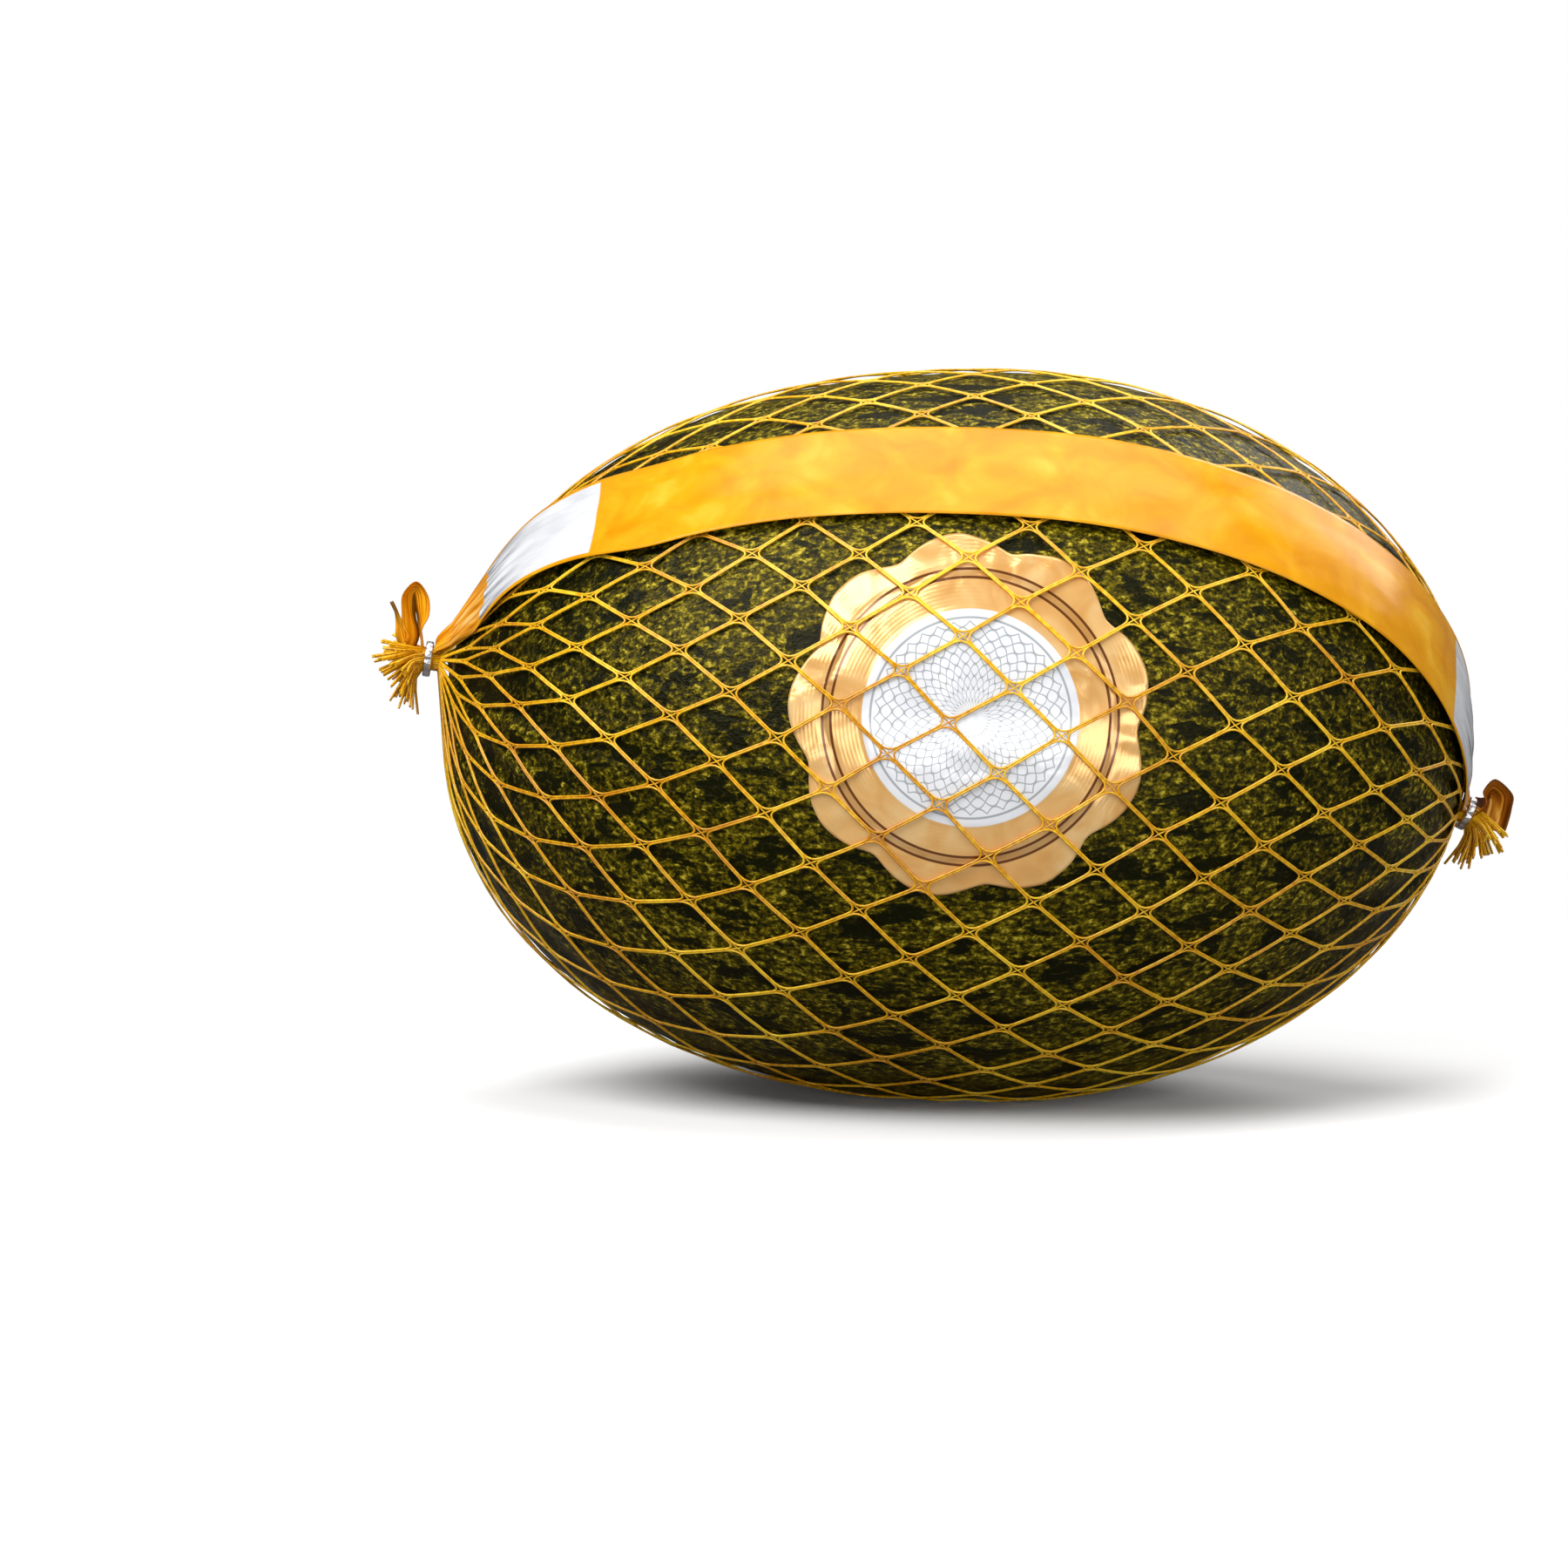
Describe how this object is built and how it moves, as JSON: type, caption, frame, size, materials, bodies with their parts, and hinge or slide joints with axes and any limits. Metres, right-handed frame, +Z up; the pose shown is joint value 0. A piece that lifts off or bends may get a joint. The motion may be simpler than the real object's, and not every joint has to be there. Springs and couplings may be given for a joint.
{
  "type": "piel de sapo melon in a net",
  "caption": "Whole green piel de sapo melon lying on its side in a yellow plastic net, with a clip at each end, a scalloped foil seal and a film band.",
  "frame": {"origin": "on the table, under the middle of the whole thing's box", "axes": "+Z up, +X along the fruit towards its sharper end, -Y towards the side that carries the seal"},
  "size_m": [0.2668, 0.1738, 0.171],
  "materials": {
    "rind": "waxy, dark green flecked with yellow-green",
    "net": "golden yellow extruded strands",
    "foil": "creased gold foil with a silver-white middle",
    "film": "glossy golden-yellow film with soft marbling",
    "clip": "satin"
  },
  "bodies": {
    "root": {"melon": "rind", "net": "net", "seal": "foil", "band": "film", "clip_left": "clip", "clip_right": "clip"}
  },
  "joints": []
}
